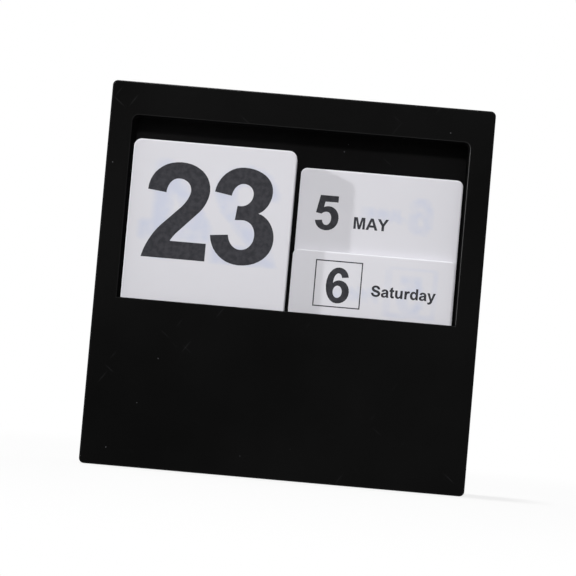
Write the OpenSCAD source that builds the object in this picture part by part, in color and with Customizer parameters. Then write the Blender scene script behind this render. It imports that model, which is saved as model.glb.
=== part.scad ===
// Perpetual desk calendar: a square black block of glued boards, open at the top, that holds three
// decks of two-sided cards behind a window. Front faces -Y, +Z is up, origin under the middle.

/* [Block] */
// Width of the block across the front
block_w = 150; // [130:1:200]
// Height of the block
block_h = 150; // [140:1:200]
// Radius of the block's corners, seen from the front
corner_r = 2; // [1:0.1:6]
// Radius of the sanded outside edges
arris_r = 0.8; // [0.3:0.1:2]

/* [Boards] */
// Thickness of the front frame and of the pocket board
front_t = 9; // [8:0.5:15]
// Thickness of the back board
back_t = 9; // [6:0.5:14]
// Width of the frame's side stiles and of the spacers behind them
stile_w = 9; // [8:0.5:16]
// Height of the frame's top rail
rail_h = 13; // [8:0.5:24]
// Radius of the window's upper corners
window_r = 2.4; // [1:0.1:6]
// Height of the lip, the top edge of the pocket board
lip_h = 65.5; // [55:0.5:80]

/* [Card bays] */
// Depth of the pocket below the lip
pocket_d = 24; // [12:0.5:34]
// Free depth of the bay, beyond the date deck's own thickness
deck_play = 2.2; // [1:0.1:6]
// Gap between the last card of a deck and the back board
back_play = 0.2; // [0.1:0.05:0.8]
// Thickness of the divider between the two bays
divider_t = 0.6; // [0.4:0.1:2]
// Place of the divider's middle, from the middle of the block
divider_x = -0.3; // [-6:0.1:6]
// Distance from the lip down to the divider's top edge
divider_drop = 2; // [1:0.5:8]
// Depth of the divider's groove in the base block
groove_d = 5; // [2:0.5:10]
// Clearance on each side of the divider in its groove
groove_clear = 0.05; // [0.02:0.01:0.1]

/* [Cards] */
// Thickness of a card
card_t = 0.5; // [0.3:0.05:0.8]
// Gap between two cards of a deck
card_gap = 0.12; // [0.06:0.01:0.3]
// Radius of the date cards' corners
date_r = 3.1; // [1:0.1:6]
// Radius of the month cards' corners
month_r = 2.5; // [1:0.1:6]
// Radius of the weekday cards' corners
weekday_r = 2.2; // [1:0.1:6]
// Gap from the top of the date cards up to the window's top
date_headroom = 8; // [4:0.5:20]
// Gap from the top of the month cards up to the window's top
month_headroom = 13.5; // [6:0.5:26]
// Height of the weekday cards above the lip
weekday_show = 25.5; // [18:0.5:36]
// Side clearance of the date cards in their bay, on each side
date_clear = 0.4; // [0.1:0.05:1]
// Side slack of the month and weekday cards in their bay, both sides together
right_slack = 1.6; // [1:0.1:4]
// Gap between the divider and the month cards
month_shift = 0.9; // [0.1:0.1:0.9]
// Gap between the divider and the weekday cards
weekday_shift = 0.5; // [0.1:0.1:0.9]
// Day of the month on the card that stands in front
date_shown = 23; // [1:1:31]
// Month on the card that stands in front
month_shown = 5; // [1:1:12]
// Day of the week on the card that stands in front, Monday first
weekday_shown = 6; // [1:1:7]

/* [Dowels and screws] */
// Radius of a dowel
dowel_r = 2; // [1.5:0.1:2.5]
// Length of a dowel in the front frame or the pocket board
dowel_front = 6; // [4:0.5:7]
// Length of a dowel in the spacer or the base block
dowel_rear = 8; // [5:0.5:9]
// Chamfer on the ends of a dowel
dowel_chamfer = 0.4; // [0.2:0.1:0.8]
// Radial clearance of a dowel in its hole
dowel_clear = 0.05; // [0.02:0.01:0.1]
// Distance of the outer frame dowels from the ends of the stiles
dowel_end = 20; // [12:1:34]
// Distance of the pocket dowels from the edges of the base block
dowel_inset = 10; // [6:0.5:14]
// Radius of a screw's shank
screw_r = 1.6; // [1.2:0.1:2]
// Radius of a screw's countersunk head
screw_head_r = 3.4; // [2.8:0.1:3.8]
// Height of the conical head
screw_head_h = 2; // [1.5:0.1:3]
// Length of a screw
screw_l = 16; // [12:0.5:18]
// Length of a screw's tapered tip
screw_tip_h = 3; // [1:0.5:5]
// Radius of the blunt end of the tip
screw_tip_r = 0.5; // [0.3:0.1:0.8]
// Depth of the screw heads below the back
screw_sink = 0.3; // [0.1:0.1:0.8]
// Clearance round a screw in its hole
screw_clear = 0.05; // [0.02:0.01:0.1]
// Length of the cross in a screw's head
cross_l = 3.8; // [3:0.1:4.4]
// Width of the cross in a screw's head
cross_w = 0.9; // [0.6:0.1:1.2]
// Depth of the cross in a screw's head
cross_d = 1.2; // [0.8:0.1:1.4]
// Distance of the stile screws from the ends of the block
screw_end = 45; // [40:1:58]
// Distance of the base screws from the sides of the base block
screw_inset = 33; // [24:1:44]

/* [Hidden] */
$fn = 48;
DATE_CARDS = 16;
MONTH_CARDS = 6;
WEEKDAY_CARDS = 4;
MONTH_DAYS = 31;
WEEK_DAYS = 7;

// A cut runs this far past the face that it opens
over = 1;

// Decks, bay and board planes, front to back
card_pitch = card_t + card_gap;
date_deck_t = DATE_CARDS * card_pitch - card_gap;
month_deck_t = MONTH_CARDS * card_pitch - card_gap;
weekday_deck_t = WEEKDAY_CARDS * card_pitch - card_gap;
bay_t = date_deck_t + deck_play;
depth = front_t + bay_t + back_t;
y_front = -depth / 2;
y_bay = y_front + front_t;
y_back = y_bay + bay_t;
y_rear = y_back + back_t;
date_y = y_back - back_play - date_deck_t;
month_y = y_back - back_play - month_deck_t;
weekday_y = month_y - card_gap - weekday_deck_t;

// Window, bays and pocket, seen from the front
bay_w = block_w - 2 * stile_w;
stile_x = (block_w - stile_w) / 2;
window_top = block_h - rail_h;
floor_z = lip_h - pocket_d;
divider_left = divider_x - divider_t / 2;
divider_right = divider_x + divider_t / 2;

// Cards, sized to their bays and to the window
date_w = divider_left + bay_w / 2 - 2 * date_clear;
date_h = window_top - date_headroom - floor_z;
date_x = divider_left - date_clear - date_w / 2;
right_w = bay_w / 2 - divider_right - right_slack;
month_h = window_top - month_headroom - floor_z;
month_x = divider_right + month_shift + right_w / 2;
weekday_h = lip_h + weekday_show - floor_z;
weekday_x = divider_right + weekday_shift + right_w / 2;

// A card is named by the numbers on its two sides, and a blank side has none
function two(n) = n < 10 ? str("0", n) : str(n);
function date_name(i) = let (n = 2 * i + 1)
    str("date_card_", two(n), n < MONTH_DAYS ? str("_", two(n + 1)) : "");
function month_name(i) = str("month_card_", two(2 * i + 1), "_", two(2 * i + 2));
function weekday_name(i) = let (n = 2 * i + 1)
    str("weekday_card_", n, n < WEEK_DAYS ? str("_", n + 1) : "");

// Place of card i in its deck, counted from the front, when the card with number shown is in front
function place(i, shown, cards) = (i - floor((shown - 1) / 2) + cards) % cards;

board_colour = "#141416";
dowel_colour = "#c8a878";
screw_colour = "#2a2a2d";
card_colour = "#d5d4da";

// Rectangle with round corners, centred on X and standing on the X axis
module rounded_rect(w, h, r) {
    translate([r - w / 2, 0]) square([w - 2 * r, h]);
    translate([-w / 2, r]) square([w, h - 2 * r]);
    for (x = [r - w / 2, w / 2 - r], y = [r, h - r])
        translate([x, y]) circle(r);
}

// Stands a flat outline up as a plate whose front face is at y
module standing(y, t) {
    translate([0, y + t, 0]) rotate([90, 0, 0]) linear_extrude(t) children();
}

// Board from x0 to x1 across the front, from the ground up to height h
module board(x0, x1, y, t, h) {
    translate([x0, y, 0]) cube([x1 - x0, t, h]);
}

// The whole block after sanding, which rounds every outside edge of the boards in it
module sanded_block() {
    intersection() {
        standing(y_front, depth) rounded_rect(block_w, block_h, corner_r);
        linear_extrude(block_h) translate([0, y_front]) rounded_rect(block_w, depth, arris_r);
        translate([-block_w / 2, 0, 0]) rotate([90, 0, 90]) linear_extrude(block_w)
            rounded_rect(depth, block_h, arris_r);
    }
}

// Opening of the front frame, which the pocket board fills up to the lip
module frame_opening() {
    translate([-bay_w / 2, -over]) square([bay_w, window_top - window_r + over]);
    translate([window_r - bay_w / 2, 0]) square([bay_w - 2 * window_r, window_top]);
    for (side = [-1, 1])
        translate([side * (bay_w / 2 - window_r), window_top - window_r]) circle(window_r);
}

module frame_dowel_places() {
    for (x = [-stile_x, stile_x], z = [dowel_end, block_h / 2, block_h - dowel_end])
        translate([x, y_bay, z]) children();
}

module pocket_dowel_places() {
    for (side = [-1, 1], z = [dowel_inset, floor_z - dowel_inset])
        translate([side * (bay_w / 2 - dowel_inset), y_bay, z]) children();
}

module screw_places() {
    for (x = [-stile_x, stile_x], z = [screw_end, block_h - screw_end])
        translate([x, y_rear, z]) children();
    for (side = [-1, 1])
        translate([side * (bay_w / 2 - screw_inset), y_rear, floor_z / 2]) children();
}

// Dowel across the glue joint at y = 0, with a chamfer at each end
module dowel() {
    rotate([-90, 0, 0]) translate([0, 0, -dowel_front]) {
        length = dowel_front + dowel_rear;
        nose_r = dowel_r - dowel_chamfer;
        cylinder(r1 = nose_r, r2 = dowel_r, h = dowel_chamfer);
        translate([0, 0, dowel_chamfer]) cylinder(r = dowel_r, h = length - 2 * dowel_chamfer);
        translate([0, 0, length - dowel_chamfer])
            cylinder(r1 = dowel_r, r2 = nose_r, h = dowel_chamfer);
    }
}

module dowel_hole() {
    rotate([-90, 0, 0]) translate([0, 0, -dowel_front])
        cylinder(r = dowel_r + dowel_clear, h = dowel_front + dowel_rear);
}

// Countersunk cross-head wood screw that points into the block from the back at y = 0
module screw() {
    shank_l = screw_l - screw_head_h - screw_tip_h;
    rotate([90, 0, 0]) translate([0, 0, screw_sink]) difference() {
        union() {
            cylinder(r1 = screw_head_r, r2 = screw_r, h = screw_head_h);
            translate([0, 0, screw_head_h]) cylinder(r = screw_r, h = shank_l);
            translate([0, 0, screw_head_h + shank_l])
                cylinder(r1 = screw_r, r2 = screw_tip_r, h = screw_tip_h);
        }
        for (turn = [0, 90])
            rotate([0, 0, turn]) translate([-cross_l / 2, -cross_w / 2, -over])
                cube([cross_l, cross_w, over + cross_d]);
    }
}

module screw_hole() {
    head_r = screw_head_r + screw_clear;
    shank_r = screw_r + screw_clear;
    rotate([90, 0, 0]) {
        translate([0, 0, -over]) cylinder(r = head_r, h = over + screw_sink);
        translate([0, 0, screw_sink]) cylinder(r1 = head_r, r2 = shank_r, h = screw_head_h);
        cylinder(r = shank_r, h = screw_sink + screw_l);
    }
}

// Front board of the upper half: a top rail and two stiles cut from one piece
module front_frame() {
    color(board_colour) difference() {
        intersection() {
            board(-block_w / 2, block_w / 2, y_front, front_t, block_h);
            sanded_block();
        }
        standing(y_front - over, front_t + 2 * over) frame_opening();
        frame_dowel_places() dowel_hole();
    }
}

// Lower front board, flush between the stiles, whose top edge is the lip
module pocket_board() {
    color(board_colour) difference() {
        intersection() {
            board(-bay_w / 2, bay_w / 2, y_front, front_t, lip_h);
            sanded_block();
        }
        pocket_dowel_places() dowel_hole();
    }
}

// Side wall of the bay, from the ground to the top
module side_spacer(x0, x1) {
    color(board_colour) difference() {
        intersection() {
            board(x0, x1, y_bay, bay_t, block_h);
            sanded_block();
        }
        frame_dowel_places() dowel_hole();
        screw_places() screw_hole();
    }
}

module left_spacer() {
    side_spacer(-block_w / 2, -bay_w / 2);
}

module right_spacer() {
    side_spacer(bay_w / 2, block_w / 2);
}

// Block between the spacers, whose top is the floor that the cards stand on
module base_block() {
    color(board_colour) difference() {
        board(-bay_w / 2, bay_w / 2, y_bay, bay_t, floor_z);
        translate([divider_left - groove_clear, y_bay - over, floor_z - groove_d])
            cube([divider_t + 2 * groove_clear, bay_t + 2 * over, groove_d + over]);
        pocket_dowel_places() dowel_hole();
        screw_places() screw_hole();
    }
}

module back_board() {
    color(board_colour) difference() {
        intersection() {
            board(-block_w / 2, block_w / 2, y_back, back_t, block_h);
            sanded_block();
        }
        screw_places() screw_hole();
    }
}

// Thin strip that stands in the base block's groove and keeps the two bays apart below the lip
module bay_divider() {
    bottom = floor_z - groove_d;
    color(board_colour) translate([divider_left, y_bay, bottom])
        cube([divider_t, bay_t, lip_h - divider_drop - bottom]);
}

module frame_dowels() {
    color(dowel_colour) frame_dowel_places() dowel();
}

module pocket_dowels() {
    color(dowel_colour) pocket_dowel_places() dowel();
}

module back_screws() {
    color(screw_colour) screw_places() screw();
}

// Card that stands on the pocket's floor with its middle at x and its front face at y
module card(x, y, w, h, r) {
    color(card_colour) translate([x, 0, floor_z]) standing(y, card_t) rounded_rect(w, h, r);
}

module date_card(i) {
    card(date_x, date_y + place(i, date_shown, DATE_CARDS) * card_pitch, date_w, date_h, date_r);
}

module month_card(i) {
    card(month_x, month_y + place(i, month_shown, MONTH_CARDS) * card_pitch, right_w, month_h, month_r);
}

module weekday_card(i) {
    card(weekday_x, weekday_y + place(i, weekday_shown, WEEKDAY_CARDS) * card_pitch,
        right_w, weekday_h, weekday_r);
}

front_frame();
pocket_board();
left_spacer();
right_spacer();
base_block();
back_board();
bay_divider();
frame_dowels();
pocket_dowels();
back_screws();
for (i = [0 : DATE_CARDS - 1])
    date_card(i);
for (i = [0 : MONTH_CARDS - 1])
    month_card(i);
for (i = [0 : WEEKDAY_CARDS - 1])
    weekday_card(i);
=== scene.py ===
import math

import bmesh
import bpy
import numpy as np
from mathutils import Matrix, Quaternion, Vector
from mathutils.geometry import delaunay_2d_cdt


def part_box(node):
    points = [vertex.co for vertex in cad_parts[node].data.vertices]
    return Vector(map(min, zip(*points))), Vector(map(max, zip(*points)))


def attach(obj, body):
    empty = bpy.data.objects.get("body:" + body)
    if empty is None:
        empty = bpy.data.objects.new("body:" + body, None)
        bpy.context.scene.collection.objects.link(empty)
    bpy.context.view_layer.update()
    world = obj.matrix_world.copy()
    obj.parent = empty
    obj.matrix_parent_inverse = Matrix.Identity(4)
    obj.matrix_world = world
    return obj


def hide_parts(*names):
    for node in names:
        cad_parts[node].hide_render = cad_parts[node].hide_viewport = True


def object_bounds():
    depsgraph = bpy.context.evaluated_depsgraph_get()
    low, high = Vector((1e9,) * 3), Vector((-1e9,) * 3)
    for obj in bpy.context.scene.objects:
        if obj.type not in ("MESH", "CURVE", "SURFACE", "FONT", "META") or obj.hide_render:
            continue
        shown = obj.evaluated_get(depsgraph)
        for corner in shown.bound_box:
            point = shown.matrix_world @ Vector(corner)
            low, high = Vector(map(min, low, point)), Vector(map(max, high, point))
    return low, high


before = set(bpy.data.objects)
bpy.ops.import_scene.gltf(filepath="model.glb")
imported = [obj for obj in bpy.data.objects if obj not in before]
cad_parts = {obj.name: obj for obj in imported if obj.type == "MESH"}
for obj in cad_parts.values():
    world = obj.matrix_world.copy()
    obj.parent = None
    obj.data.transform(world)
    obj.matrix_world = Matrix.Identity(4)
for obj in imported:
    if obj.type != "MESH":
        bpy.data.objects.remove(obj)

cad_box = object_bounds()

# Camera
# It stands 0.9 m in front of the block with a long lens, a little to the right of and below the middle,
# and is turned by 5 degrees, so that the upright block leans to the right in the picture.
MM = 0.001
camera_distance = 0.9
camera_to_right = 1.63
camera_upwards = -2.36
camera_turn = 5.02
lens_length = 144.8
film_width = 36
aim_shift = Vector((0.2, 0, -0.4)) * MM
front_low, front_high = (Vector(corner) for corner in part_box("front_frame"))
front_middle = Vector((0, front_low.y, (front_low.z + front_high.z) / 2))


def seen_from(distance, to_right, upwards):
    """The point at that distance from the middle of the front, at these angles from straight ahead."""
    right = math.radians(to_right)
    up = math.radians(upwards)
    ray = Vector((math.sin(right) * math.cos(up), -math.cos(right) * math.cos(up), math.sin(up)))
    return front_middle + distance * ray


camera_data = bpy.data.cameras.new("camera")
camera_data.lens = lens_length
camera_data.sensor_width = film_width
camera = bpy.data.objects.new("camera", camera_data)
bpy.context.collection.objects.link(camera)
camera.location = seen_from(camera_distance, camera_to_right, camera_upwards)
level = (front_middle + aim_shift - camera.location).to_track_quat("-Z", "Y")
camera.rotation_mode = "QUATERNION"
camera.rotation_quaternion = level @ Quaternion((0, 0, 1), math.radians(camera_turn))
scene = bpy.context.scene
scene.camera = camera
scene.view_settings.view_transform = "Standard"


# Studio
# A white table in a white surround that glows softly straight ahead of the block. A main lamp hangs behind
# and above the camera, one overhead lights the card tops through the slot, and a small one far to the left
# throws the date deck's shadow on the cards beside it.
class Wire:
    """An output of a shader node. Sums and products of wires and numbers add their own Math nodes."""

    # A Mix node's sockets for colours, which share their names with its sockets for numbers
    off_colour = 6
    on_colour = 7
    mixed_colour = 2

    def __init__(self, tree, socket=None):
        self.tree = tree
        self.socket = socket

    def add(self, kind, settings=None, sockets=None, output=0):
        """Adds a node. Its settings are set first, then the values or links of its sockets."""
        node = self.tree.nodes.new("ShaderNode" + kind)
        for name, value in (settings or {}).items():
            setattr(node, name, value)
        for name, value in (sockets or {}).items():
            if isinstance(value, Wire):
                self.tree.links.new(value.socket, node.inputs[name])
            else:
                node.inputs[name].default_value = value
        return Wire(self.tree, node.outputs[output] if node.outputs else None)

    def combine(self, operation, first, second):
        return self.add("Math", {"operation": operation}, {0: first, 1: second})

    def __add__(self, other):
        return self.combine("ADD", self, other)

    __radd__ = __add__

    def __sub__(self, other):
        return self.combine("SUBTRACT", self, other)

    def __rsub__(self, other):
        return self.combine("SUBTRACT", other, self)

    def __mul__(self, other):
        return self.combine("MULTIPLY", self, other)

    __rmul__ = __mul__

    def __or__(self, other):
        """The larger of two masks."""
        return self.combine("MAXIMUM", self, other)

    def ramp(self, low, high):
        """0 below low, 1 above high, and a smooth rise between them."""
        limits = {"Value": self, "From Min": low, "From Max": high}
        return self.add("MapRange", {"interpolation_type": "SMOOTHSTEP"}, limits)

    def about(self, middle, swing):
        """A value that swings about the middle as this goes from 0 to 1."""
        return middle + swing * (self - 0.5)

    def tint(self, off, on):
        """The colour off where this is 0 and the colour on where it is 1. Each is a colour or a wire."""
        off, on = (end if isinstance(end, Wire) else (*end, 1) for end in (off, on))
        sockets = {"Factor": self, self.off_colour: off, self.on_colour: on}
        return self.add("Mix", {"data_type": "RGBA"}, sockets, self.mixed_colour)

    def noise(self, scale, detail):
        """A cloudy pattern from 0 to 1 over the places that this gives."""
        return self.add("TexNoise", sockets={"Vector": self, "Scale": scale, "Detail": detail})

    def relief(self, strength, height):
        """Raises the surface where this is high."""
        return self.add("Bump", sockets={"Height": self, "Strength": strength, "Distance": height})

    def surface(self, sockets):
        """Ends a material with the finish that these sockets describe."""
        self.add("OutputMaterial", sockets={"Surface": self.add("BsdfPrincipled", sockets=sockets)})


def seen_plainly(wire):
    """1 for the rays that see the surround as it is: the camera's, and those through clear things."""
    camera_ray = wire.add("LightPath", output="Is Camera Ray")
    clear_ray = wire.add("LightPath", output="Is Transmission Ray")
    return camera_ray | clear_ray


# How far a direction points backwards runs from -1 straight ahead of the block to 1 straight behind it
front_glow = 0.12
back_glow = 0.5
ahead_glow = 4.6
back_half = (0, 0.5)
straight_back = (0.6, 0.95)
straight_ahead = (0.93, 0.995)
world = bpy.data.worlds.new("studio")
world.use_nodes = True
world.node_tree.nodes.clear()
direction = Wire(world.node_tree).add("TexCoord", output="Generated")
backwards = direction.add("SeparateXYZ", sockets={"Vector": direction}, output="Y")
forwards = 0 - backwards
mirrored = direction.add("LightPath", output="Is Glossy Ray") * backwards.ramp(*straight_back)
white = seen_plainly(direction) | mirrored
dim = front_glow + (back_glow - front_glow) * backwards.ramp(*back_half)
dim = dim + (ahead_glow - front_glow) * forwards.ramp(*straight_ahead)
strength = dim + (1 - dim) * white
glow = direction.add("Background", sockets={"Color": (1, 1, 1, 1), "Strength": strength})
direction.add("OutputWorld", sockets={"Surface": glow})
scene.world = world


def new_material(name):
    """An empty material, and a wire with the places on the piece to build it from."""
    material = bpy.data.materials.new(name)
    material.use_nodes = True
    material.node_tree.nodes.clear()
    return material, Wire(material.node_tree).add("TexCoord", output="Object")


table_half = 12.0
table_gap = 0.02 * MM
table_paint = 0.8
near_bounce = 0.05
far_bounce = 0.6
bounce_reach = (0.15, 0.6)
least_fade = 0.8
fade_reach = (0.12, 0.4)
table_mesh = bpy.data.meshes.new("table")
corners = [(x * table_half, y * table_half, 0) for x, y in ((-1, -1), (1, -1), (1, 1), (-1, 1))]
table_mesh.from_pydata(corners, [], [(0, 1, 2, 3)])
table = bpy.data.objects.new("table", table_mesh)
table.location.z = cad_box[0][2] - table_gap
bpy.context.collection.objects.link(table)
table_white, spot = new_material("table_white")
away = spot.add("VectorMath", {"operation": "LENGTH"}, {0: spot}, output="Value")
seen = seen_plainly(spot) | spot.add("LightPath", output="Is Glossy Ray")
bounce = away.ramp(*bounce_reach).tint([near_bounce] * 3, [far_bounce] * 3)
paper = spot.add("BsdfDiffuse", sockets={"Color": seen.tint(bounce, [table_paint] * 3)})
blank = spot.add("Emission", sockets={"Color": (1, 1, 1, 1), "Strength": 1})
fade = (least_fade + (1 - least_fade) * away.ramp(*fade_reach)) * seen
faded = spot.add("MixShader", sockets={0: fade, 1: paper, 2: blank})
spot.add("OutputMaterial", sockets={"Surface": faded})
table_mesh.materials.append(table_white)


def lamp(name, place, size, power):
    """A square soft lamp that points at the middle of the front."""
    data = bpy.data.lights.new(name, "AREA")
    data.size = size
    data.energy = power
    lamp_object = bpy.data.objects.new(name, data)
    lamp_object.location = place
    lamp_object.rotation_euler = (front_middle - place).to_track_quat("-Z", "Y").to_euler()
    bpy.context.collection.objects.link(lamp_object)
    return lamp_object


overhead = front_middle + Vector((-0.15, 0.05, 1.3))
lamp("main_lamp", seen_from(2.0, to_right=-0.5, upwards=14), size=0.12, power=20)
lamp("top_lamp", overhead, size=0.16, power=14)
left_lamp = lamp("left_lamp", seen_from(1.6, to_right=-76.2, upwards=23), size=0.03, power=20)
date_shadows = bpy.data.collections.new("date_shadows")
left_lamp.light_linking.blocker_collection = date_shadows
lit_from_left = bpy.data.collections.new("lit_from_left")
left_lamp.light_linking.receiver_collection = lit_from_left


# Front
# One piece of wood-fibre board for the top rail and the two stiles, and a second one flush between the
# stiles. They are glued up, sanded as one and sprayed matte black, so that no joint shows. The router
# that cut the window left its upper corners round.
rail_height = 13 * MM
corner_round = 2.0 * MM
arris_round = 0.8 * MM
window_round = 2.4 * MM
window_arris = 0.5 * MM
glue_chamfer = 0.15 * MM
arris_steps = 5
corner_steps = 8
sharp_angle = math.radians(32)
same_point = 1e-8
on_the_cut = 1e-7
pocket_low, pocket_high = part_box("pocket_board")
window_top = front_high.z - rail_height
window_side = pocket_high[0]
lip = pocket_high[2]

# Marks on the mesh: how much the paint is rubbed there, from 0 to 1
outer_rub = 0.2
satin = 0.5
window_rub = 1.0
rub_narrowness = 3


def rectangle(left, right, bottom, top, rounds, inset=0.0):
    """Outline of a rectangle from its lower left corner round to the left, drawn in by inset.

    rounds are the radii of the corners: lower left, lower right, upper right, upper left.
    """
    tips = ((left, bottom), (right, bottom), (right, top), (left, top))
    outline = []
    for turn, ((x, z), radius) in enumerate(zip(tips, rounds)):
        inwards_x = 1 if x == left else -1
        inwards_z = 1 if z == bottom else -1
        if radius == 0:
            outline.append((x + inwards_x * inset, z + inwards_z * inset))
            continue
        centre_x = x + inwards_x * radius
        centre_z = z + inwards_z * radius
        for step in range(corner_steps + 1):
            angle = math.pi / 2 * (turn + 2 + step / corner_steps)
            outline.append((
                centre_x + (radius - inset) * math.cos(angle),
                centre_z + (radius - inset) * math.sin(angle),
            ))
    return outline


class Shell:
    """A closed mesh that is built from rings of points, walls between them and flat faces in them."""

    def __init__(self):
        self.points = []
        self.faces = []
        self.inks = []
        self.marks = []

    def ring(self, outline, depth, mark=0.0):
        """Adds an outline's points at that depth, each with a mark that a material can read."""
        first = len(self.points)
        self.points += [(x, depth, z) for x, z in outline]
        self.marks += list(np.broadcast_to(mark, len(outline)))
        return list(range(first, len(self.points)))

    def face(self, corners, ink=0):
        self.faces.append(tuple(corners))
        self.inks.append(ink)

    def wall(self, *rings):
        """Joins each ring to the next one."""
        for near, far in zip(rings, rings[1:]):
            for i, point in enumerate(near):
                j = (i + 1) % len(near)
                self.face((point, near[j], far[j], far[i]))

    def anticlockwise(self, loop):
        x, _, z = np.array([self.points[point] for point in loop]).T
        turns_left = np.sum(x * np.roll(z, -1) - np.roll(x, -1) * z) > 0
        return loop if turns_left else loop[::-1]

    def flat(self, outlines, loose=(), inked=()):
        """Fills the first outline apart from the other ones. Inked outlines lie in it and take ink."""
        loops = [self.anticlockwise(loop) for loop in (*outlines, *inked)]
        used = [point for loop in loops for point in loop] + list(loose)
        spots = [Vector((self.points[point][0], self.points[point][2])) for point in used]
        starts = np.cumsum([0] + [len(loop) for loop in loops])
        areas = [list(range(start, end)) for start, end in zip(starts, starts[1:])]
        _, _, triangles, sources, _, inside = delaunay_2d_cdt(spots, [], areas, 1, same_point)
        for corners, areas_here in zip(triangles, inside):
            cut = [area for area in areas_here if area < len(outlines)]
            if cut == [0]:
                ink = (len(areas_here) - 1) % 2
                self.face([used[sources[corner][0]] for corner in corners], ink)

    def mesh(self, name, mark_name):
        """The finished mesh, with the marks under that name."""
        data = bpy.data.meshes.new(name)
        data.from_pydata(self.points, [], self.faces)
        data.polygons.foreach_set("material_index", self.inks)
        data.attributes.new(mark_name, "FLOAT", "POINT").data.foreach_set("value", self.marks)
        finish_mesh(data)
        return data


def finish_mesh(data):
    """Turns the faces outwards and makes the mesh smooth but for its sharp edges."""
    shape = bmesh.new()
    shape.from_mesh(data)
    bmesh.ops.recalc_face_normals(shape, faces=shape.faces)
    strays = [point for point in shape.verts if not point.link_faces]
    bmesh.ops.delete(shape, geom=strays, context="VERTS")
    for face in shape.faces:
        face.smooth = True
    for edge in shape.edges:
        edge.smooth = len(edge.link_faces) == 2 and edge.calc_face_angle() < sharp_angle
    shape.to_mesh(data)
    shape.free()


def add_piece(name, data, materials, body, slot, *nodes):
    """Puts a mesh in the scene as a piece that rides on a body and stands for its nodes."""
    for material in materials:
        data.materials.append(material)
    piece = bpy.data.objects.new(name, data)
    bpy.context.collection.objects.link(piece)
    piece.modifiers.new("even_shading", "WEIGHTED_NORMAL").keep_sharp = True
    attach(piece, body)
    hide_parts(*nodes)
    return piece


spray_patches = (0.3, 0.7)
worn_grey = (0.012, 0.012, 0.013)
worn_cover = 0.6
worn_patches = (0.45, 0.75)
worn_gloss = 0.22
dust_grey = (0.16, 0.16, 0.17)
dust_cover = 0.7
speck_size = (0.012, 0.036)
scuff_grey = (0.024, 0.024, 0.025)
scuff_cover = 0.4
scuff_patches = (0.53, 0.60)
scuff_leans = (0.6, -0.9)
scuff_spacing = (2.5 * MM, 2.5 * MM, 30 * MM)
scuff_width = (0.04, 0.13)
satin_coat = 0.08
least_polish = 0.02
out_of_reach = 0.04
reach_start = 20 * MM
lip_fade = 1 * MM
rail_fade = 2 * MM


def matte_black(name, darkest, lightest):
    """Black paint, sprayed a little unevenly, with rubbed edges, a few faint scuffs and specks of dust.

    Hands polish the window's right edge most, where the cards are reached.
    """
    material, place = new_material(name)
    cloud = place.noise(scale=14, detail=4)
    grit = place.noise(scale=2200, detail=2)
    edge = place.add("Attribute", {"attribute_name": "arris"}, output="Fac")
    worn = edge * place.noise(scale=260, detail=5).ramp(*worn_patches)
    speck = place.add("TexVoronoi", sockets={"Vector": place, "Scale": 110}, output="Distance")
    dust = 1 - speck.ramp(*speck_size)
    brushed = place.noise(scale=45, detail=2).ramp(*scuff_patches)
    scuffs = 0
    for lean in scuff_leans:
        slanted = {"Vector": place, "Rotation": (0, lean, 0), "Scale": scuff_spacing}
        along = place.add("Mapping", {"vector_type": "TEXTURE"}, slanted)
        stroke = along.add("TexVoronoi", sockets={"Vector": along, "Scale": 1}, output="Distance")
        scuffs = scuffs + (1 - stroke.ramp(*scuff_width)) * brushed
    black = cloud.ramp(*spray_patches).tint([darkest] * 3, [lightest] * 3)
    rubbed = (worn * worn_cover).tint(black, worn_grey)
    scuffed = (scuffs * scuff_cover).tint(rubbed, scuff_grey)
    across = place.add("SeparateXYZ", sockets={"Vector": place}, output="X")
    upwards = place.add("SeparateXYZ", sockets={"Vector": place}, output="Z")
    beside_cards = upwards.ramp(lip, lip + lip_fade) * (1 - upwards.ramp(window_top - rail_fade, window_top))
    handled = across.ramp(reach_start, window_side) * (out_of_reach + (1 - out_of_reach) * beside_cards)
    polish = edge.ramp(satin, 1) * (least_polish + (1 - least_polish) * handled)
    place.surface({
        "Base Color": (dust * dust_cover).tint(scuffed, dust_grey),
        "Roughness": cloud.about(0.74, swing=0.1) + grit.about(0, swing=0.06) - worn_gloss * edge,
        "Specular IOR Level": 0,
        "Coat Weight": satin_coat * edge.ramp(0, satin) + polish,
        "Coat Roughness": 0.3,
        "Coat IOR": 2.0,
        "Normal": grit.relief(strength=0.25, height=0.02 * MM),
    })
    return material


black_paint = matte_black("matte_black", darkest=0.0042, lightest=0.0064)


def rounded_edge(shell, outline_at, depth, radius, into, rubbed, outside=0.0):
    """Rings round a quarter-round edge, from the side wall to the face at that depth.

    into is 1 where the board lies behind the face and -1 where it lies in front of it.
    """
    rings = []
    for step in range(arris_steps + 1):
        angle = math.pi / 2 * step / arris_steps
        inset = radius * (1 - math.cos(angle))
        rise = radius * (1 - math.sin(angle))
        mark = max(rubbed * math.sin(2 * angle) ** rub_narrowness, outside * math.cos(angle))
        rings.append(shell.ring(outline_at(inset), depth + into * rise, mark))
    return rings


def block_outline(inset):
    rounds = [corner_round] * 4
    return rectangle(front_low.x, front_high.x, front_low.z, front_high.z, rounds, inset)


def window_outline(inset):
    """The window, which grows as its edge is rounded."""
    rounds = [0, 0, window_round, window_round]
    return rectangle(pocket_low[0], pocket_high[0], lip, window_top, rounds, -inset)


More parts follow.
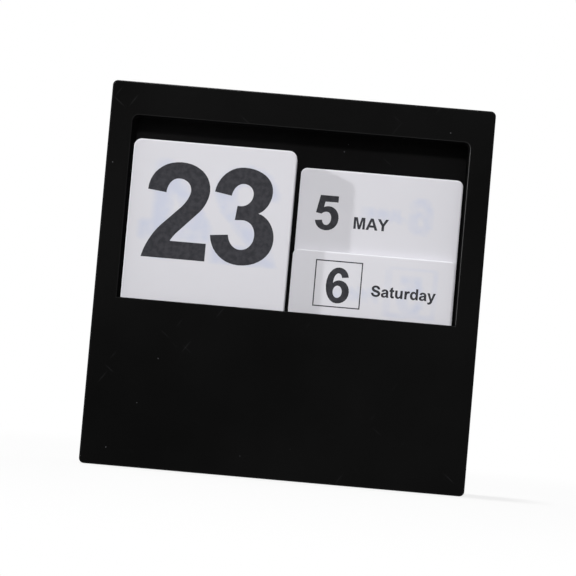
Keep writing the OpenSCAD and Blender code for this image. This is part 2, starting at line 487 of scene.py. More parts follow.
front_shell = Shell()
front_edge = rounded_edge(front_shell, block_outline, front_low.y, arris_round, 1, outer_rub, satin)
front_rear = [
    front_shell.ring(block_outline(glue_chamfer), front_high.y, satin),
    front_shell.ring(block_outline(0), front_high.y - glue_chamfer, satin),
]
front_shell.wall(*front_rear, *front_edge)
window_edge = rounded_edge(front_shell, window_outline, front_low.y, window_arris, 1, window_rub)
window_rear = [
    front_shell.ring(window_outline(glue_chamfer), front_high.y),
    front_shell.ring(window_outline(0), front_high.y - glue_chamfer),
]
front_shell.wall(*window_rear, *window_edge)
front_shell.flat([front_edge[-1], window_edge[-1]])
front_shell.flat([front_rear[0], window_rear[0]])
front_mesh = front_shell.mesh("front", "arris")


def in_pocket(middle):
    return pocket_low[0] < middle.x < pocket_high[0] and middle.z < lip + window_arris


def in_frame(middle):
    return not in_pocket(middle)


def front_board(name, belongs, node):
    """Adds one of the front's two boards, cut along the stiles' inner edges and closed there."""
    shape = bmesh.new()
    shape.from_mesh(front_mesh)
    for x in (pocket_low[0], pocket_high[0]):
        everything = shape.verts[:] + shape.edges[:] + shape.faces[:]
        bmesh.ops.bisect_plane(
            shape, geom=everything, dist=on_the_cut, plane_co=(x, 0, 0), plane_no=(1, 0, 0))
    others = [face for face in shape.faces if not belongs(face.calc_center_median())]
    bmesh.ops.delete(shape, geom=others, context="FACES")
    bmesh.ops.holes_fill(shape, edges=[edge for edge in shape.edges if edge.is_boundary], sides=0)
    data = bpy.data.meshes.new(name)
    shape.to_mesh(data)
    shape.free()
    finish_mesh(data)
    piece = add_piece(name, data, [black_paint], "block", "black_board", node)
    lit_from_left.objects.link(piece)


front_board("front_frame_board", in_frame, "front_frame")
front_board("pocket_front_board", in_pocket, "pocket_board")


# Sides and floor of the card bay
# Two upright strips of the same board stand between the front and the back, and a wide block between
# them carries the cards. All are glued in and sprayed black, and only fine glue lines show outside.
def dress(node, material):
    """Gives a CAD node that keeps its own shape a finish."""
    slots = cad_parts[node].data.materials
    slots.clear()
    slots.append(material)


for side, rounded in (("left", (1, 0, 0, 1)), ("right", (0, 1, 1, 0))):
    low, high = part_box(side + "_spacer")
    corner_rounds = [corner_round * corner for corner in rounded]
    strip_inside = min(abs(low[0]), abs(high[0])) + corner_round
    stations = (
        (low[1], glue_chamfer),
        (low[1] + glue_chamfer, 0),
        (high[1] - glue_chamfer, 0),
        (high[1], glue_chamfer),
    )
    strip = Shell()
    rings = []
    for depth, inset in stations:
        outline = rectangle(low[0], high[0], low[2], high[2], corner_rounds, inset)
        marks = [satin * (abs(x) > strip_inside) for x, _ in outline]
        rings.append(strip.ring(outline, depth, marks))
    strip.wall(*rings)
    strip.flat(rings[:1])
    strip.flat(rings[-1:])
    strip_name = side + "_side_strip"
    strip_mesh = strip.mesh(strip_name, "arris")
    add_piece(strip_name, strip_mesh, [black_paint], "block", "black_board", side + "_spacer")
dress("base_block", black_paint)


# Back board
# A full square of the same board closes the back. It is screwed on through six countersunk holes,
# its outside edges are rounded like the front's, and it is sprayed black. That black is a touch lighter
# than the front's, as painted light that brightens the back wall of the card bay.
back_low, back_high = (Vector(corner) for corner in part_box("back_board"))
head_radius = 3.4 * MM
shank_radius = 1.6 * MM
head_height = 2.0 * MM
head_sink = 0.3 * MM
hole_clearance = 0.05 * MM
hole_lip = 0.15 * MM
hole_rub = 1.0
circle_steps = 40
strip_low, strip_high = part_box("right_spacer")
base_low, base_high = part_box("base_block")
strip_middle = (strip_low[0] + strip_high[0]) / 2
strip_screw_end = 45 * MM
base_screw_inset = 33 * MM
screw_places = [
    (x, z)
    for x in (-strip_middle, strip_middle)
    for z in (back_low.z + strip_screw_end, back_high.z - strip_screw_end)
]
screw_places += [
    (x, (base_low[2] + base_high[2]) / 2)
    for x in (base_low[0] + base_screw_inset, base_high[0] - base_screw_inset)
]


def circle(centre, radius):
    turns = [2 * math.pi * step / circle_steps for step in range(circle_steps)]
    return [(centre[0] + radius * math.cos(turn), centre[1] + radius * math.sin(turn)) for turn in turns]


back = Shell()
back_edge = rounded_edge(back, block_outline, back_high.y, arris_round, -1, outer_rub, satin)
back_edge[-1] = back.ring(block_outline(arris_round), back_high.y, satin)
back_front = [
    back.ring(block_outline(glue_chamfer), back_low.y),
    back.ring(block_outline(0), back_low.y + glue_chamfer, satin),
]
back.wall(*back_front, *back_edge)
seat = back_high.y - head_sink
hole_profile = (
    (back_high.y, head_radius + hole_clearance + hole_lip, satin),
    (back_high.y - hole_lip, head_radius + hole_clearance, hole_rub),
    (seat, head_radius + hole_clearance, 0),
    (seat - head_height, shank_radius + hole_clearance, 0),
    (back_low.y, shank_radius + hole_clearance, 0),
)
holes = []
for place in screw_places:
    hole = [back.ring(circle(place, radius), depth, mark) for depth, radius, mark in hole_profile]
    back.wall(*hole)
    holes.append(hole)
back.flat([back_edge[-1], *(hole[0] for hole in holes)])
back.flat([back_front[0], *(hole[-1] for hole in holes)])
back_mesh = back.mesh("rear_board", "arris")
# A lighter copy of the black paint: painted light for the back wall of the card bay
back_paint_painted_light = matte_black("back_black_painted_light", darkest=0.0050, lightest=0.0075)
add_piece("rear_board", back_mesh, [back_paint_painted_light], "block", "black_board", "back_board")


# Back screws
# Six countersunk wood screws of black-oxidised steel with a cross recess, driven from the back into the
# side strips and the base block. Their heads sit just below the surface.
cross_length = 3.8 * MM
cross_width = 0.9 * MM
cross_depth = 1.2 * MM
cross_taper = 0.62
arm_taper = 0.8
turn_between = 0.7
head_edge = 0.08 * MM
face_rub = 0.3
edge_rub = 0.6
cross_rub = 1.0
thread_pitch = 1.1 * MM
thread_depth = 0.3 * MM
shank_length = 11 * MM
tip_length = 3 * MM
tip_radius = 0.5 * MM
dark_oxide = (0.012, 0.012, 0.014)
pale_oxide = (0.03, 0.03, 0.033)
oxide_metal = 0.4
bare_steel = (0.2, 0.2, 0.21)
bare_cover = 0.7
bare_gloss = 0.1
scratch_patches = (0.4, 0.7)


def blackened_steel():
    """Dark oxide with a dull sheen, rubbed bright where the driver has turned in the cross."""
    material, place = new_material("blackened_steel")
    patches = place.noise(scale=900, detail=4)
    scratches = place.noise(scale=4000, detail=3)
    rubbed = place.add("Attribute", {"attribute_name": "rubbed"}, output="Fac")
    bright = rubbed * scratches.ramp(*scratch_patches)
    oxide = patches.tint(dark_oxide, pale_oxide)
    place.surface({
        "Base Color": (bright * bare_cover).tint(oxide, bare_steel),
        "Metallic": oxide_metal + (1 - oxide_metal) * bright,
        "Roughness": patches.about(0.42, swing=0.16) - bare_gloss * bright,
        "Normal": scratches.relief(strength=0.2, height=0.01 * MM),
    })
    return material


def cross(centre, scale, turn):
    """Outline of a cross recess, its arms a little narrower at their ends."""
    long = cross_length / 2 * scale
    wide = cross_width / 2 * scale
    arm = ((wide, wide), (long, arm_taper * wide), (long, -arm_taper * wide))
    outline = []
    for quarter in range(4):
        angle = turn - quarter * math.pi / 2
        for x, z in arm:
            outline.append((
                centre[0] + x * math.cos(angle) - z * math.sin(angle),
                centre[1] + x * math.sin(angle) + z * math.cos(angle),
            ))
    return outline


under_head = seat - head_height
screw_profile = [
    (seat, head_radius - head_edge, face_rub),
    (seat - head_edge, head_radius, edge_rub),
    (under_head, shank_radius, 0),
]
for ridge in range(round(shank_length / thread_pitch)):
    valley = under_head - (ridge + 0.5) * thread_pitch
    screw_profile.append((valley, shank_radius - thread_depth, 0))
    screw_profile.append((valley - thread_pitch / 2, shank_radius, 0))
screw_profile.append((under_head - shank_length - tip_length, tip_radius, 0))
screws = Shell()
for number, place in enumerate(screw_places):
    screw = [screws.ring(circle(place, radius), depth, mark) for depth, radius, mark in screw_profile]
    screws.wall(*screw)
    screws.flat(screw[-1:])
    turn = turn_between * number
    recess = [
        screws.ring(cross(place, 1, turn), seat, cross_rub),
        screws.ring(cross(place, cross_taper, turn), seat - cross_depth),
    ]
    screws.wall(*recess)
    screws.flat(recess[1:])
    screws.flat([screw[0], recess[0]])
screws_mesh = screws.mesh("cross_head_screws", "rubbed")
add_piece("cross_head_screws", screws_mesh, [blackened_steel()], "block", "black_screw", "back_screws")


# Divider and dowels
# A thin strip of black plastic stands in a groove of the base block and keeps the two bays apart below the
# lip. Plain beech dowels hold the front boards to the strips and the block, out of sight in the glue joints.
dark_plastic = (0.006, 0.006, 0.007)
pale_plastic = (0.011, 0.011, 0.012)
drawn_scale = (400, 400, 20)
pale_wood = (0.60, 0.43, 0.26)
dark_wood = (0.40, 0.26, 0.14)
grain_scale = (700, 60, 700)
fleck_brown = (0.24, 0.13, 0.06)
fleck_cover = 0.5
fleck_patches = (0.62, 0.7)


def strip_plastic():
    """Black sheet plastic with the fine drawn lines of the roll."""
    material, place = new_material("black_strip")
    drawn = place.add("Mapping", sockets={"Vector": place, "Scale": drawn_scale})
    lines = drawn.noise(scale=6, detail=3)
    place.surface({
        "Base Color": lines.tint(dark_plastic, pale_plastic),
        "Roughness": lines.about(0.42, swing=0.2),
        "Specular IOR Level": 0.3,
        "Normal": lines.relief(strength=0.15, height=0.02 * MM),
    })
    return material


def beech():
    """Pale beech with the grain along the dowel and short dark flecks."""
    material, place = new_material("beech")
    along = place.add("Mapping", sockets={"Vector": place, "Scale": grain_scale})
    grain = along.add("TexNoise", sockets={"Vector": along, "Scale": 1, "Detail": 5, "Distortion": 0.4})
    flecks = along.noise(scale=4, detail=1).ramp(*fleck_patches)
    place.surface({
        "Base Color": (flecks * fleck_cover).tint(grain.tint(dark_wood, pale_wood), fleck_brown),
        "Roughness": grain.about(0.6, swing=0.15),
        "Normal": grain.relief(strength=0.3, height=0.05 * MM),
    })
    return material


dress("bay_divider", strip_plastic())
dowel_wood = beech()
for node in ("frame_dowels", "pocket_dowels"):
    dress(node, dowel_wood)


# Printing on the cards
# Bold numerals and names in dark grey, on both sides of nearly every card. Each character is drawn on a
# body 100 high: x,y is a corner, a,b>x,y a curve to x,y whose tangents meet at a,b, and x,y*a,b an ellipse.
NUMERALS = {
    "0": "0,50 0,101.2>33,101.2 66,101.2>66,50 66,-1.2>33,-1.2 0,-1.2>0,50 |"
         " 19.6,50 19.6,85.5>33,85.5 46.4,85.5>46.4,50 46.4,14.5>33,14.5 19.6,14.5>19.6,50",
    "1": "43.8,0 24.7,0 24.7,71.9 15,62>0,57.5 0,74.8 20,80>28.3,100 43.8,100",
    "2": "65.8,0 0,0 4.3,21.5>19.7,35.9 36,52.5 46.1,62.5>46.1,71.4 46.1,83.3>32.9,83.3"
         " 21.5,83.3>20.5,68 1.6,70.1 2.5,100>34.2,100 65.5,100>65.5,72.8 65.5,59.5>55.3,49.1"
         " 34.2,26.7 30.5,22.5>28.2,18 65.8,18",
    "3": "1.3,73 5,100>30.5,100 60.8,100>60.8,76.7 60.8,60>47.6,53.8 65.5,49.5>65.5,28"
         " 65.5,-1>31.8,-1 3,-1>0,27.6 18.2,29.4 20,14.9>31.8,14.9 45.5,14.9>45.5,30.7"
         " 45.5,45.8>32,45.8 24.2,45.4 25.8,60.1 28,59.8 41.3,60>41.3,72.8 41.3,83.3>30.5,83.3"
         " 20.5,83.3>18.7,70.1",
    "4": "40.8,0 40.8,20 0,20 0,36.8 43.2,100 59.2,100 59.2,36.8 71.6,36.8 71.6,20 59.2,20 59.2,0 |"
         " 40.8,36.8 40.8,70.9 17.9,36.8",
    "5": "63.4,100 11,100 1.1,48.8 17.4,46.4 23,53>32,53 46.6,53>46.6,34 46.6,13.6>32,13.6"
         " 21.5,13.6>19.8,28 0,26 3,-1.3>32,-1.3 67.6,-1.3>67.6,35.5 67.6,69>36.5,69 29,69>22.6,65.5"
         " 25.6,82.4 63.4,82.4",
    "6": "62.8,75 59,101.2>35,101.2 0,101.2>0,49 0,-1.2>33.5,-1.2 66.5,-1.2>66.5,32.5"
         " 66.5,64.5>37.5,64.5 26.5,64.5>19,55.5 19.5,85>34,85 43,85>44.2,72.8 |"
         " 33.5,31.8*13.5,17.8",
    "7": "0,99 65.5,99 65.5,85.5 37,52>31.2,0 12.3,0 15,46>42.3,81.8 0,81.8",
    "8": "33,101.2 62.8,101.2>62.8,75.5 62.8,60.5>49.5,54 66,47>66,28 66,-1.2>33,-1.2 0,-1.2>0,28"
         " 0,47>16.5,54 3.2,60.5>3.2,75.5 3.2,101.2>33,101.2 | 33,74*11.5,11.5 | 33,30*14.2,16",
    "9": "3.7,25 7.5,-1.2>31.5,-1.2 66.5,-1.2>66.5,51 66.5,101.2>33,101.2 0,101.2>0,67.5"
         " 0,35.5>29,35.5 40,35.5>47.5,44.5 47,15>32.5,15 23.5,15>22.3,27.2 |"
         " 33,68.2*13.5,17.8",
}
LETTERS = {
    "A": (100.9, "0,0 39,100 61,100 101,0 79,0 70.5,22.7 29.5,22.7 21.4,0 | 35.8,39.5 50,77.5 64.2,39.5"),
    "B": (100.9, "10,0 10,100 50,100 88.5,100>88.5,74.5 88.5,58.5>75,52.5 94.5,47>94.5,28.5 94.5,0>56,0 |"
                 " 30,83.5 30,60.3 50,60.3 68.5,60.3>68.5,72 68.5,83.5>50,83.5 |"
                 " 30,43.8 30,16.8 53,16.8 74,16.8>74,30.3 74,43.8>53,43.8"),
    "C": (100.9, "93.5,73.5 87,101.7>54.5,101.7 6.5,101.7>6.5,49.3 6.5,-1.7>54,-1.7 85.5,-1.7>92.5,30.5"
                 " 72.8,36.8 68.5,15.5>53.5,15.5 27.3,15.5>27.3,50.5 27.3,84.5>54,84.5 69,84.5>73.3,68.7"),
    "D": (100.9, "10,0 10,100 47,100 94.5,100>94.5,50 94.5,0>47,0 |"
                 " 30.2,83 30.2,17 46,17 73.7,17>73.7,50 73.7,83>46,83"),
    "E": (93.2, "10,0 10,100 84.2,100 84.2,83 30.2,83 30.2,61 80.4,61 80.4,44 30.2,44 30.2,17 86,17 86,0"),
    "F": (85.3, "10,0 10,100 78.5,100 78.5,83 30.2,83 30.2,59.5 70.8,59.5 70.8,42.5 30.2,42.5 30.2,0"),
    "G": (108.7, "57,54.5 100.5,54.5 100.5,14.8 80,-1.7>57.5,-1.7 7,-1.7>7,50 7,101.7>57,101.7"
                 " 94,101.7>98.8,71.5 78.5,67.8 74.5,84.3>57,84.3 28,84.3>28,51 28,15.3>57,15.3"
                 " 69.5,15.3>80,24 80,37.5 57,37.5"),
    "H": (100.9, "10,0 10,100 30.2,100 30.2,60.7 70.7,60.7 70.7,100 91,100 91,0 70.7,0 70.7,43.7"
                 " 30.2,43.7 30.2,0"),
    "I": (38.8, "9.5,0 9.5,100 29.5,100 29.5,0"),
    "J": (77.7, "47.7,100 68,100 68,36 68,-1.7>35.5,-1.7 2.7,-1.7>2.7,31.5 21.8,33.7 22.5,15.3>34.8,15.3"
                " 47.7,15.3>47.7,36"),
    "L": (85.3, "10.5,0 10.5,99.2 30.7,99.2 30.7,16.9 81,16.9 81,0"),
    "M": (116.4, "9.7,0 9.7,100 40,100 58.2,31.8 76.2,100 106.5,100 106.5,0 87.8,0 87.8,78.7 67.9,0 48.5,0"
                 " 28.5,78.7 28.5,0"),
    "N": (100.9, "10.2,0 10.2,100 29.8,100 71,33.2 71,100 89.8,100 89.8,0 69.5,0 29,65.2 29,0"),
    "O": (108.7, "54.3,50*48,51.7 | 54.3,50*27,34.5"),
    "P": (93.2, "10,0 10,100 48,100 87,100>87,69.2 87,37.7>50,37.7 30.2,37.7 30.2,0 |"
                " 30.2,83 30.2,54.7 47,54.7 66.3,54.7>66.3,69 66.3,83>47,83"),
    "R": (100.9, "10,0 10,100 53,100 92.5,100>92.5,71.7 92.5,49>66,44 74,39>80.5,29 99.5,0 75.3,0 60.5,23.5"
                 " 48.5,41.7>38,41.7 30.2,41.7 30.2,0 |"
                 " 30.2,83 30.2,57.7 48,57.7 71.5,57.7>71.5,70.7 71.5,83>49,83"),
    "S": (93.2, "84.5,70.3 83.3,101.7>46,101.7 8.3,101.7>8.3,72.3 8.3,50>40,42.7 67.5,36.5>67.5,27.3"
                " 67.5,15>46.8,15 27.3,15>24.3,34.4 4.5,32.5 8,-1.7>46.6,-1.7 88.3,-1.7>88.3,29.3"
                " 88.3,53>55.5,59.7 28.3,65.4>28.3,75 28.3,85.3>46,85.3 62.5,85.3>64,69.6"),
    "T": (85.3, "32.5,0 32.5,83 3,83 3,100 82.3,100 82.3,83 52.8,83 52.8,0"),
    "U": (100.9, "9.8,100 30,100 30,45.5 30,15.5>51,15.5 70.8,15.5>70.8,46 70.8,100 91,100 91,47"
                 " 91,-1.7>50.6,-1.7 9.8,-1.7>9.8,46"),
    "V": (93.2, "35.7,0 0,100 22,100 47.2,26 71.6,100 93,100 57.3,0"),
    "W": (131.9, "24.3,0 0.4,100 21.1,100 36.1,31.3 54.4,100 78.4,100 95.8,30.2 111.2,100 131.5,100 107.2,0"
                 " 85.8,0 65.9,74.8 45.9,0"),
    "Y": (93.2, "36.5,0 36.5,42.1 0,100 23.6,100 47.1,60.5 70.1,100 93.3,100 56.7,42 56.7,0"),
    "a": (77.7, "7,53.3 11,74>38,74 68.5,74>68.5,46 68.5,20 68.5,8>73.3,0 54.3,0 52.3,4>51.5,8.3"
                " 42,-1.6>28.5,-1.6 3.5,-1.6>3.5,20 3.5,38>27,42 44,45>49.5,47.5 49.5,49.3"
                " 49.5,59.5>36.8,59.5 27.5,59.5>24.4,50.2 |"
                " 49.5,34.8 46,33.2>36,31 23.2,28.2>23.2,21.3 23.2,12>34.5,12 49.5,12>49.5,28"),
    "d": (85.3, "76.7,0 58.8,0 58.8,10.6 49,-1.6>35,-1.6 5.7,-1.6>5.7,36.5 5.7,74>35.4,74 48.8,74>57.5,63.9"
                " 57.5,100 76.7,100 |"
                " 25.3,37.8 25.3,13.1>42,13.1 57.7,13.1>57.7,35.5 57.7,59.3>41.5,59.3 25.3,59.3>25.3,37.8"),
    "e": (77.7, "71,19.8 63.5,-1.6>39.5,-1.6 4.7,-1.6>4.7,35.6 4.7,74>38,74 72.6,74>72.6,34.5 72.6,30.7"
                " 24,30.7 24.5,12.6>40,12.6 49.5,12.6>51.9,23 |"
                " 53,42.4 52.3,59.3>39,59.3 24.9,59.3>24.9,42.4"),
    "h": (85.3, "9.5,0 9.5,100 28.7,100 28.7,63.2 38.5,74>51.5,74 76.6,74>76.6,46.5 76.6,0 57.4,0 57.4,40"
                " 57.4,59.3>44.6,59.3 28.7,59.3>28.7,37.5 28.7,0"),
    "i": (38.8, "9.8,0 9.8,72.4 29,72.4 29,0 | 9.8,82.3 9.8,100 29,100 29,82.3"),
    "n": (85.3, "9.5,0 9.5,72.4 27.4,72.4 27.4,61.8 37.5,74>52,74 76.7,74>76.7,45 76.7,0 57.5,0 57.5,36.8"
                " 57.5,59.3>44.8,59.3 28.7,59.3>28.7,32.8 28.7,0"),
    "o": (85.3, "42.7,36.2*37.3,37.8 | 42.7,36.2*17.7,22.2"),
    "r": (54.4, "9.3,0 9.3,72.4 27.2,72.4 27.2,62.1 34,74>43.5,74 50.5,74>56.7,70.2 50.7,53.5"
                " 46,56.5>41.2,56.5 28.5,56.5>28.5,22.4 28.5,0"),
    "s": (77.7, "67.2,53 63.5,74>37,74 5.5,74>5.5,52 5.5,36>33,30.5 51.5,27>51.5,20.5 51.5,11.2>37.7,11.2"
                " 25.2,11.2>22.3,23.4 3,20.4 7,-1.6>37.7,-1.6 71.3,-1.6>71.3,22.4 71.3,38.5>42,44"
                " 24,47.3>24,53.5 24,61.3>36,61.3 47.3,61.3>49.1,49.6"),
    "t": (46.5, "43.1,72.4 43.1,57.1 30,57.1 30,27.8 30,14>35.3,14 38,14>42.7,15.7 44.3,0.8"
                " 37.5,-1.6>29.5,-1.6 11.1,-1.6>11.1,22 11.1,57.1 2.1,57.1 2.1,72.4 11.1,72.4 11.1,86.8"
                " 30,98.2 30,72.4"),
    "u": (85.3, "57.7,0 57.7,10.8 49,-1.6>33,-1.6 8.7,-1.6>8.7,26.5 8.7,72.4 27.9,72.4 27.9,32"
                " 27.9,13.1>39.5,13.1 56.3,13.1>56.3,40 56.3,72.4 75.5,72.4 75.5,0"),
    "y": (77.7, "0.9,72.4 21.3,72.4 38.6,21 55.5,72.4 75.3,72.4 49.7,2.7 45.2,-9.8 38.5,-29.5>20,-29.5"
                " 13.5,-29.5>7.4,-27.9 5.7,-13 10.2,-14>14.6,-14 24.2,-14>28.7,0.2"),
}
BODY = 100
curve_pull = 0.58
ink_spread = 0.055 * MM
mitre_limit = 0.5


def draw(outline, steps):
    """The closed contours of a character, with that many straight steps to a curve."""
    contours = []
    for contour in outline.split("|"):
        points = []
        for word in contour.split():
            pairs = [np.array(pair.split(","), float) for pair in word.replace("*", ">").split(">")]
            if "*" in word:
                turns = np.linspace(0, 2 * math.pi, 4 * steps, endpoint=False)
                points = [pairs[0] + pairs[1] * (math.cos(turn), math.sin(turn)) for turn in turns]
            elif ">" in word:
                bend, end = pairs
                start = points[-1]
                pull_out = start + curve_pull * (bend - start)
                pull_in = end + curve_pull * (bend - end)
                for t in np.linspace(0, 1, steps + 1)[1:]:
                    s = 1 - t
                    ends = s**3 * start + t**3 * end
                    points.append(ends + 3 * s * t * (s * pull_out + t * pull_in))
            else:
                points.append(pairs[0])
        if np.allclose(points[0], points[-1]):
            points.pop()
        contours.append(np.array(points))
    return contours


def in_ink(spots, contours):
    """Which of the spots lie in the ink, by counting the edges to their right."""
    x, z = spots.T
    inside = np.zeros(len(spots), bool)
    for contour in contours:
        for (x0, z0), (x1, z1) in zip(contour, np.roll(contour, -1, axis=0)):
            if z0 != z1:
                spans = (z0 > z) != (z1 > z)
                inside ^= spans & (x < x0 + (z - z0) * (x1 - x0) / (z1 - z0))
    return inside


def character(outline, height, left, base, steps):
    """Contours of a character at that height, with its ink run out a little at the edges."""
    contours = [contour * height / BODY + (left, base) for contour in draw(outline, steps)]
    printed = []
    for contour in contours:
        along = np.roll(contour, -1, axis=0) - contour
        along /= np.linalg.norm(along, axis=1, keepdims=True)
        outwards = along[:, ::-1] * (1, -1)
        just_beside = ink_spread / 10 * outwards[0]
        beside_first = (contour[0] + contour[1]) / 2 + just_beside
        if in_ink(beside_first[None], contours)[0]:
            outwards = -outwards
        before = np.roll(outwards, 1, axis=0)
        square = 1 + np.sum(outwards * before, axis=1, keepdims=True)
        printed.append(contour + ink_spread * (outwards + before) / np.maximum(square, mitre_limit))
    return printed


def numeral_width(number, height, gap):
    outlines = [draw(NUMERALS[digit], steps=2) for digit in str(number)]
    widths = [max(contour[:, 0].max() for contour in contours) for contours in outlines]
    return sum(widths) * height / BODY + gap * (len(widths) - 1)


def numeral(number, height, left, base, gap, steps):
    """Contours of a number whose first digit starts at left, with a gap between its digits."""
    contours = []
    for digit in str(number):
        contours += character(NUMERALS[digit], height, left, base, steps)
        left += numeral_width(digit, height, gap) + gap
    return contours


def lettering(word, height, left, base, room):
    """Contours of a word that starts at left, set smaller if it is longer than the room for it."""
    length = sum(LETTERS[letter][0] for letter in word) * height / BODY
    height *= min(1, room / length)
    contours = []
    for letter in word:
        advance, outline = LETTERS[letter]
        contours += character(outline, height, left, base, steps=4)
        left += advance * height / BODY
    return contours


# Cards
# Thin white plastic cards with a matte face and a rolled rim, punched with round corners. They stand
# loose in the bays, and the print on a card's other side shows through it as a faint blue shade.
rim_width = 0.55 * MM
rim_drop = 0.18 * MM
rim_curve = 1.3
rim_steps = 4
shade_grid = 1.0 * MM
shade_blur = 1.0 * MM
shade_margin = 2 * shade_blur
shade_spots = 6
shade_gain = 0.6
least_shade = 0.45
shade_patches = (0.3, 0.65)
dull_white = (0.640, 0.634, 0.672)
clean_white = (0.668, 0.662, 0.700)
blue_shade = (0.562, 0.584, 0.684)
thin_ink = (0.043, 0.043, 0.050)
thick_ink = (0.023, 0.023, 0.028)
ink_patches = (0.3, 0.7)


def card_stock(name, painted_light_gain):
    """Cool white plastic, a touch uneven, the other side's print showing through; a gain above 1 is painted
    light.
    """
    dull, clean, shade = (
        [painted_light_gain * channel for channel in colour] for colour in (dull_white, clean_white, blue_shade)
    )
    material, place = new_material(name)
    cloud = place.noise(scale=55, detail=3)
    tooth = place.noise(scale=3500, detail=2)
    blotches = place.noise(scale=160, detail=2).ramp(*shade_patches)
    print_behind = place.add("Attribute", {"attribute_name": "seen_through"}, output="Fac")
    through = print_behind * (least_shade + (1 - least_shade) * blotches)
    place.surface({
        "Base Color": through.tint(cloud.tint(dull, clean), shade),
        "Roughness": cloud.about(0.54, swing=0.12),
        "Specular IOR Level": 0.1,
        "Normal": tooth.relief(strength=0.1, height=0.01 * MM),
    })
    return material


def card_ink():
    """Dark grey ink, not quite even."""
    material, place = new_material("card_ink")
    cover = place.noise(scale=500, detail=4)
    place.surface({
        "Base Color": cover.ramp(*ink_patches).tint(thick_ink, thin_ink),
        "Roughness": cover.about(0.6, swing=0.1),
        "Specular IOR Level": 0.1,
    })
    return material


dark_ink = card_ink()


def ink_cover(spots, contours):
    """How much of a small disc round each spot lies in the ink."""
    turns = [2 * math.pi * step / shade_spots for step in range(shade_spots)]
    shifts = [(0, 0)] + [(shade_blur * math.cos(turn), shade_blur * math.sin(turn)) for turn in turns]
    cover = sum(in_ink(spots + shift, contours).astype(float) for shift in shifts)
    return (cover / len(shifts)) ** shade_gain


def printed_card(node, radius, stock, *printed_sides):
    """A card with its two printed sides, each a list of contours from its own upper left corner."""
    low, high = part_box(node)
    corner = np.array((low[0], high[2]))
    mirrored_corner = np.array((high[0], high[2]))
    prints = [
        [contour + corner for contour in printed_sides[0]],
        [contour * (-1, 1) + mirrored_corner for contour in printed_sides[1]],
    ]
    stations = []
    for step in range(rim_steps + 1):
        out = step / rim_steps
        stations.append((rim_width * (1 - out), rim_drop * out**rim_curve))
    profile = [(inset, low[1] + drop) for inset, drop in stations]
    profile += [(inset, high[1] - drop) for inset, drop in reversed(stations)]
    card = Shell()
    rings = [
        card.ring(rectangle(low[0], high[0], low[2], high[2], [radius] * 4, inset), depth)
        for inset, depth in profile
    ]
    card.wall(*rings)
    for rim, depth, own, other in ((rings[0], low[1], *prints), (rings[-1], high[1], *prints[::-1])):
        inked = [card.ring(contour, depth, ink_cover(contour, other)) for contour in own]
        loose = []
        if other:
            outline = np.concatenate(other)
            ends = zip(outline.min(axis=0) - shade_margin, outline.max(axis=0) + shade_margin)
            columns, rows = (np.arange(start, end, shade_grid) for start, end in ends)
            spots = np.array([(x, z) for x in columns for z in rows])
            loose = card.ring(spots, depth, ink_cover(spots, other))
        card.flat([rim], loose, inked)
    card_name = node + "_printed"
    data = card.mesh(card_name, "seen_through")
    piece = add_piece(card_name, data, [stock, dark_ink], node, "card", node)
    lit_from_left.objects.link(piece)
    return piece


# Date deck
# Sixteen cards with the days 1 to 31 in large numerals, two to a card but for the last, in the left bay.
# The card with 23 stands in front.
date_radius = 3.1 * MM
date_height = 38.2 * MM
date_below_top = 8.15 * MM
date_gap = 1.4 * MM
date_low, date_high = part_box("date_card_31")
date_width = date_high[0] - date_low[0]


def date_print(day):
    left = (date_width - numeral_width(day, date_height, date_gap)) / 2
    return numeral(day, date_height, left, -date_below_top - date_height, date_gap, steps=10)


plain_stock = card_stock("card_stock", painted_light_gain=1)
for day in range(1, 31, 2):
    node = f"date_card_{day:02}_{day + 1:02}"
    piece = printed_card(node, date_radius, plain_stock, date_print(day), date_print(day + 1))
    date_shadows.objects.link(piece)
piece = printed_card("date_card_31", date_radius, plain_stock, date_print(31), [])
date_shadows.objects.link(piece)


# Month deck
# Six cards at the back of the right bay, each with a month's number and its name in capitals on either
# side. The back is printed a little further in and higher than the front.
month_radius = 2.5 * MM
month_number_height = 13.6 * MM
month_number_below_top = 10.3 * MM
month_gap = 0.6 * MM
month_word_height = 4.56 * MM
month_front = {"number_left": 7.14 * MM, "word_left": 22.1 * MM, "rise": 0, "word_base": -22.5 * MM}
month_back = {"number_left": 11.1 * MM, "word_left": 22.3 * MM, "rise": 1.3 * MM, "word_base": -18.6 * MM}
long_number_left = 4.5 * MM
long_number_gap = 3.5 * MM
word_margin = 2.5 * MM
month_low, month_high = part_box("month_card_05_06")
month_width = month_high[0] - month_low[0]
MONTHS = "JANUARY FEBRUARY MARCH APRIL MAY JUNE JULY AUGUST SEPTEMBER OCTOBER NOVEMBER DECEMBER".split()


def month_print(month, number_left, word_left, rise, word_base):
    """A month's number and name. A number of two digits starts further left and pushes the name along."""
    if month > 9:
        number_left = long_number_left
        word_left = number_left + numeral_width(month, month_number_height, month_gap) + long_number_gap
    number_base = rise - month_number_below_top - month_number_height
    number = numeral(month, month_number_height, number_left, number_base, month_gap, steps=6)
    room = month_width - word_margin - word_left
    return number + lettering(MONTHS[month - 1], month_word_height, word_left, word_base, room)


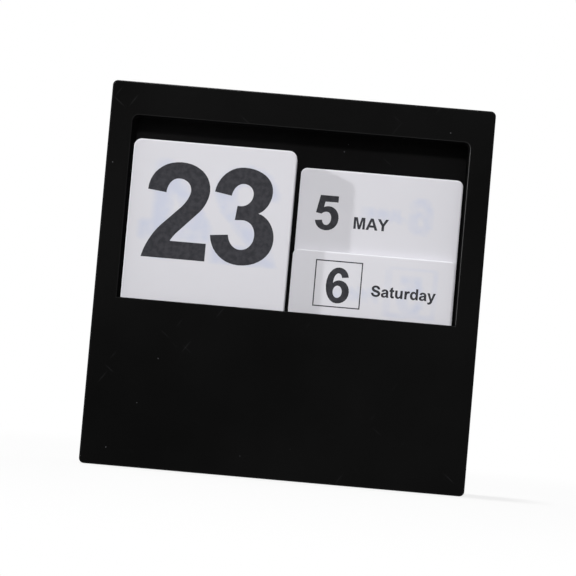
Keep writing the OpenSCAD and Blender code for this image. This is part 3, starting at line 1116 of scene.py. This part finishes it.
for month in range(1, 12, 2):
    prints = month_print(month, **month_front), month_print(month + 1, **month_back)
    printed_card(f"month_card_{month:02}_{month + 1:02}", month_radius, plain_stock, *prints)


# Weekday deck
# Four lower cards in front of the months, with a weekday's number in a thin square and its name on each
# printed side. Their stock is a little lighter, as painted light that makes up for the shade deeper in
# the bay. The card in front shows its second side, Saturday.
weekday_radius = 2.2 * MM
weekday_box_width = 18.7 * MM
weekday_box_height = 18.5 * MM
weekday_box_below_top = 3.4 * MM
weekday_line = 0.45 * MM
weekday_number_height = 13.8 * MM
weekday_number_drop = 0.45 * MM
weekday_word_height = 4.3 * MM
weekday_word_shift = 22.55 * MM
weekday_word_base = -16.25 * MM
weekday_front = {"box_left": 9.35 * MM, "drop": 0}
weekday_back = {"box_left": 7.4 * MM, "drop": 1.5 * MM}
weekday_low, weekday_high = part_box("weekday_card_7")
weekday_width = weekday_high[0] - weekday_low[0]
WEEKDAYS = "Monday Tuesday Wednesday Thursday Friday Saturday Sunday".split()


def weekday_print(weekday, box_left, drop):
    box_right = box_left + weekday_box_width
    box_top = -weekday_box_below_top - drop
    box_bottom = box_top - weekday_box_height
    sharp = [0, 0, 0, 0]
    square = [
        np.array(rectangle(box_left, box_right, box_bottom, box_top, sharp, inset))
        for inset in (0, weekday_line)
    ]
    number_left = box_left + (weekday_box_width - numeral_width(weekday, weekday_number_height, 0)) / 2
    number_base = box_bottom + (weekday_box_height - weekday_number_height) / 2 - weekday_number_drop
    number = numeral(weekday, weekday_number_height, number_left, number_base, gap=0, steps=6)
    word_left = box_left + weekday_word_shift
    room = weekday_width - word_margin - word_left
    word = lettering(WEEKDAYS[weekday - 1], weekday_word_height, word_left, weekday_word_base - drop, room)
    return square + number + word


# A lighter copy of the card stock: painted light for the weekday cards
painted_light_stock_for_weekdays = card_stock("weekday_stock_painted_light", painted_light_gain=1.04)
for node, front_day, back_day in (
    ("weekday_card_1_2", 1, 2),
    ("weekday_card_3_4", 3, 4),
    ("weekday_card_5_6", 6, 5),
    ("weekday_card_7", 7, None),
):
    front_print = weekday_print(front_day, **weekday_front)
    back_print = weekday_print(back_day, **weekday_back) if back_day else []
    printed_card(node, weekday_radius, painted_light_stock_for_weekdays, front_print, back_print)
